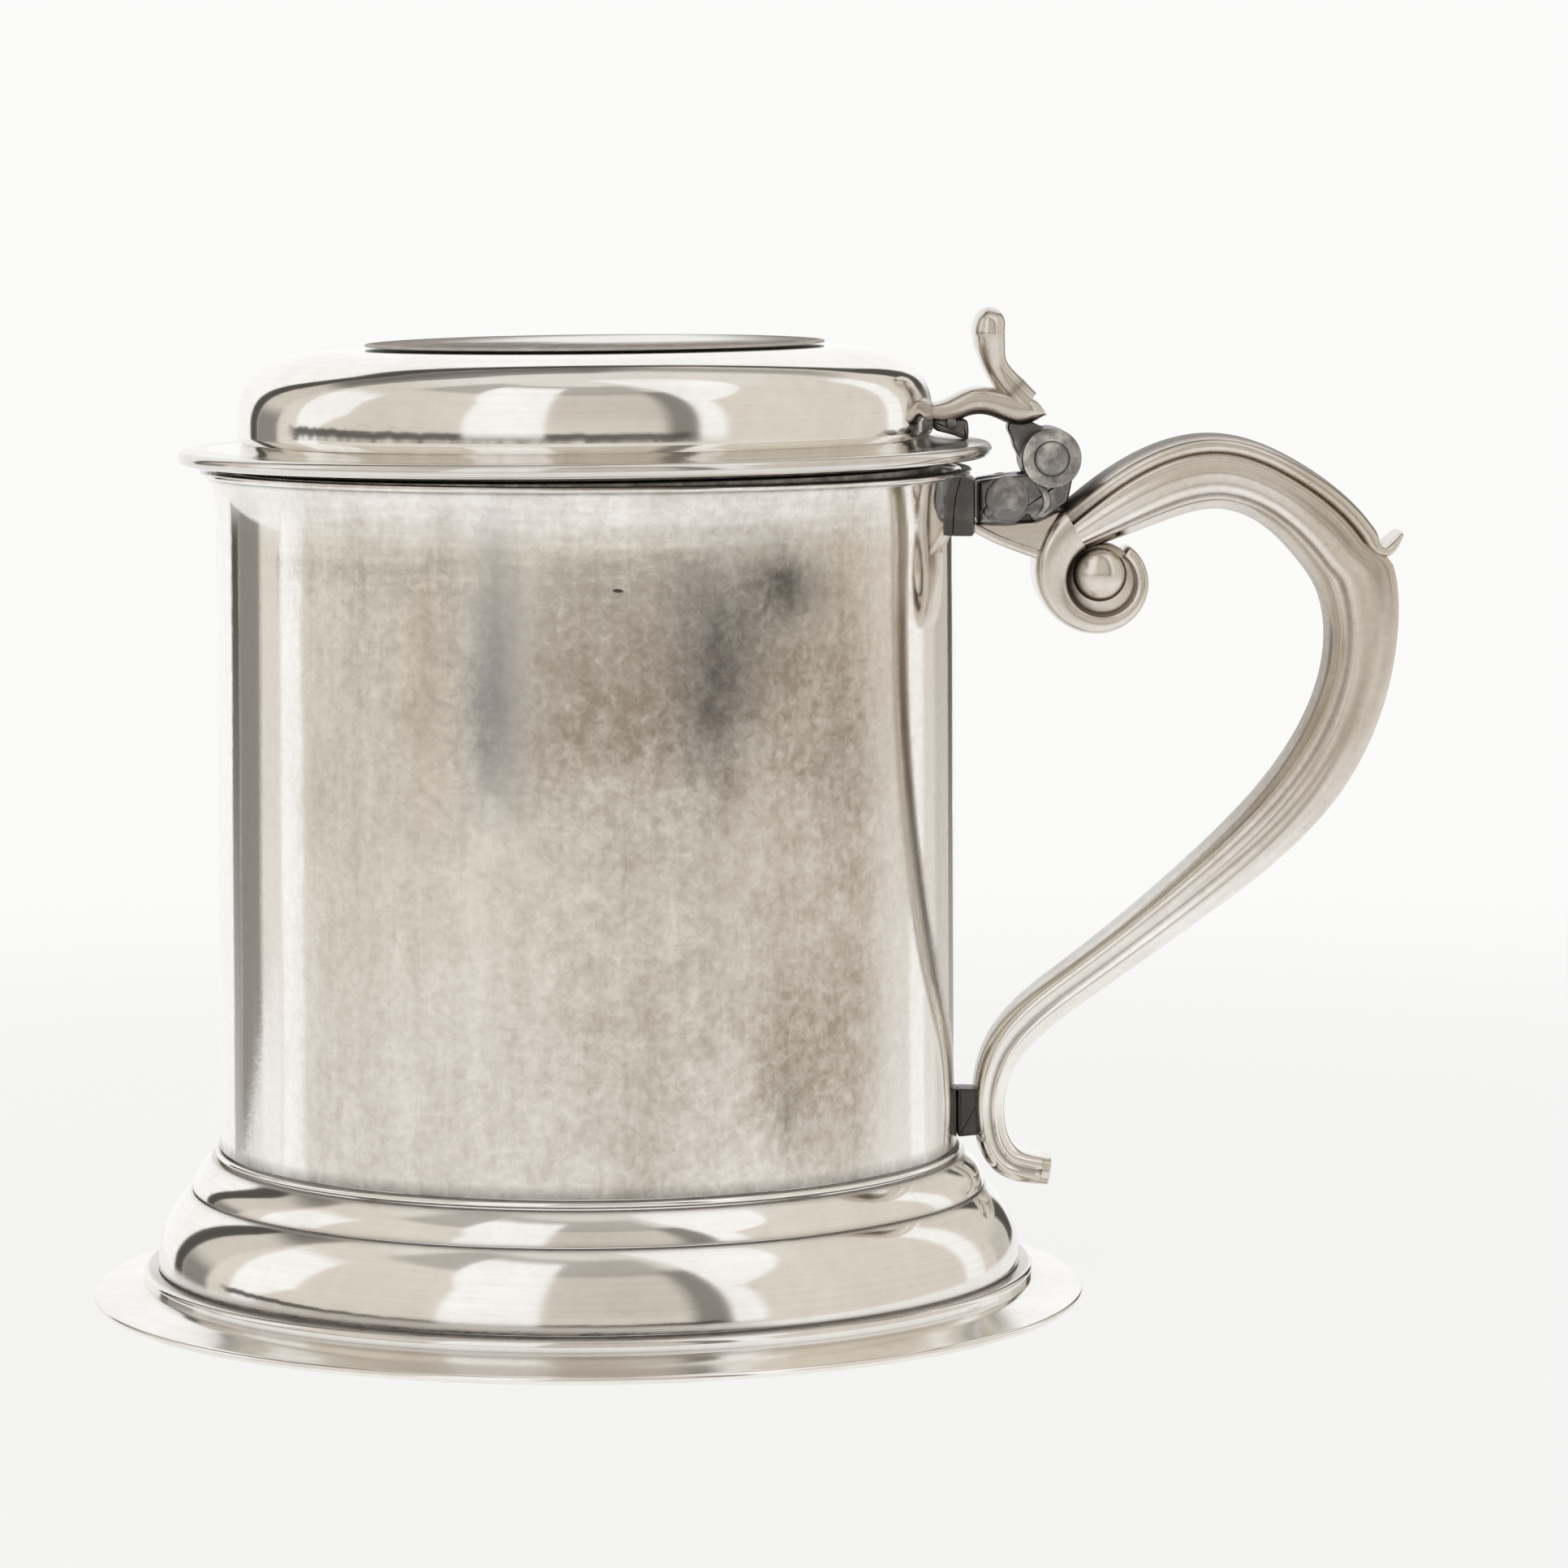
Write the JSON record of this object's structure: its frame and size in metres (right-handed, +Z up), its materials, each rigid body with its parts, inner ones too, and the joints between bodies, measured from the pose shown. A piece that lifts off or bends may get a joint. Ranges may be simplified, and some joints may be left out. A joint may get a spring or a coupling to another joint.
{
  "type": "lidded tankard",
  "caption": "Lidded tankard: tapering drum on a spreading moulded foot, domed lid on a pinned hinge with a thumbpiece, and a hollow scroll handle.",
  "frame": {"origin": "on the table under the middle of the whole outline, drum, foot and handle together", "axes": "+Z up, +X from the drum towards the handle, the picture looks along +Y"},
  "size_m": [0.1716, 0.1298, 0.1285],
  "materials": {
    "satin_silver": "worn satin silver with warm grey tarnish and fine vertical streaks",
    "polished_silver": "polished silver with dark tarnish in the creases",
    "cast_silver": "cast silver, rubbed bright on its ridges and warm brown in its hollows",
    "tarnished_silver": "dark grey tarnished silver"
  },
  "bodies": {
    "body": {"drum": "satin_silver", "rim_wire": "satin_silver", "floor_disc": "satin_silver", "base_bead": "polished_silver", "foot_band": "polished_silver", "foot_ovolo": "polished_silver", "foot_fillet": "polished_silver", "foot_flange": "polished_silver", "hinge_pad": "tarnished_silver", "hinge_bracket": "tarnished_silver", "hinge_pin": "tarnished_silver", "lower_strut": "tarnished_silver", "handle_root": "cast_silver", "handle_front_half": "cast_silver", "handle_rear_half": "cast_silver", "handle_back_strap": "cast_silver", "handle_end_cap": "cast_silver", "volute": "cast_silver", "volute_eye": "cast_silver"},
    "lid": {"lid_flange": "polished_silver", "lid_dome": "polished_silver", "lid_disc": "polished_silver", "lid_bezel": "satin_silver", "lid_lug": "polished_silver", "lid_strap": "polished_silver", "lid_knuckle": "polished_silver", "thumbpiece": "cast_silver"}
  },
  "joints": [
    {"name": "lid_hinge", "type": "hinge", "parent": "body", "child": "lid", "pos_m": [0.03938, 0, 0.1094], "axis": [0, 1, 0], "range_deg": [0, 98]}
  ]
}
